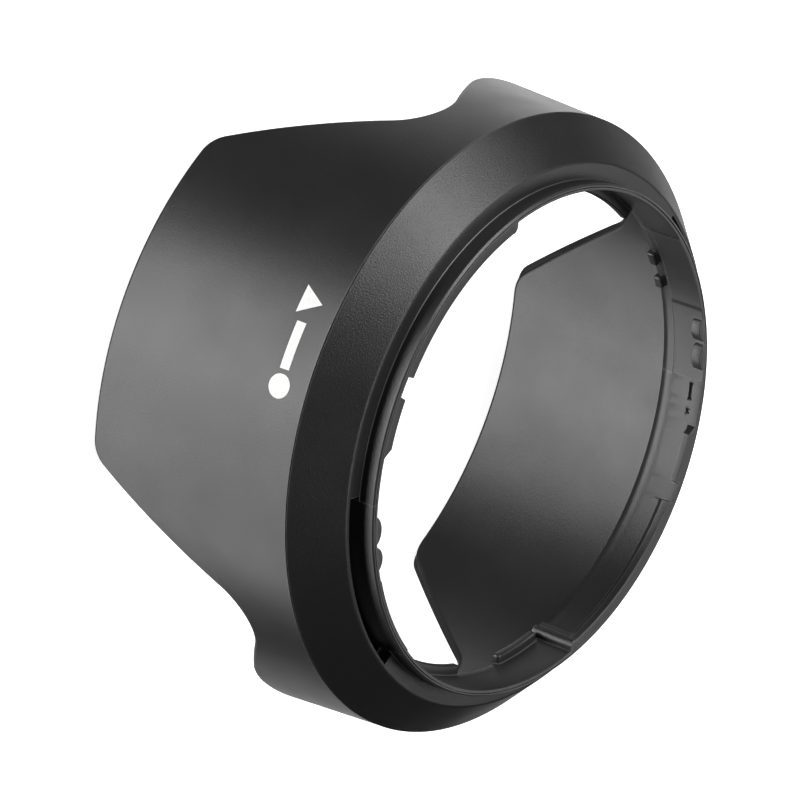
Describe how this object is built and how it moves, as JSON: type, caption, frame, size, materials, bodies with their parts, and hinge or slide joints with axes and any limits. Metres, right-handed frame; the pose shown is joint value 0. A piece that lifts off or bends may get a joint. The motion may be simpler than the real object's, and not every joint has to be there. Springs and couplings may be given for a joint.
{
  "type": "lens hood",
  "caption": "Petal-shaped lens hood with a conical collar and a bayonet ring whose sprung detent leaves lock it to the lens.",
  "frame": {"origin": "on the optical axis, in the plane of the long petals' tips", "axes": "+Z along the optical axis towards the lens mount; the long petals are centred on +X and -X, the one with the index marks on +X; the short petals are centred on +Y and -Y"},
  "size_m": [0.0696, 0.0682, 0.0313],
  "materials": {
    "shell_plastic": "fine matte moulded texture",
    "collar_plastic": "satin moulded",
    "ring_plastic": "satin moulded",
    "leaf_plastic": "satin moulded",
    "index_ink": "matte printed ink"
  },
  "bodies": {
    "hood": {"petal_shell": "shell_plastic", "mount_collar": "collar_plastic", "bayonet_ring": "ring_plastic", "index_dot": "index_ink", "index_line": "index_ink", "index_triangle": "index_ink"},
    "leaf_a": {"detent_leaf_a": "leaf_plastic"},
    "leaf_b": {"detent_leaf_b": "leaf_plastic"}
  },
  "joints": [
    {"name": "leaf_a_flex", "type": "slide", "parent": "hood", "child": "leaf_a", "axis": [0.6852, 0.7284, 0], "range_m": [0, 0.0005], "stiffness_N_per_m": 3000},
    {"name": "leaf_b_flex", "type": "slide", "parent": "hood", "child": "leaf_b", "axis": [-0.6852, -0.7284, 0], "range_m": [0, 0.0005], "stiffness_N_per_m": 3000}
  ]
}
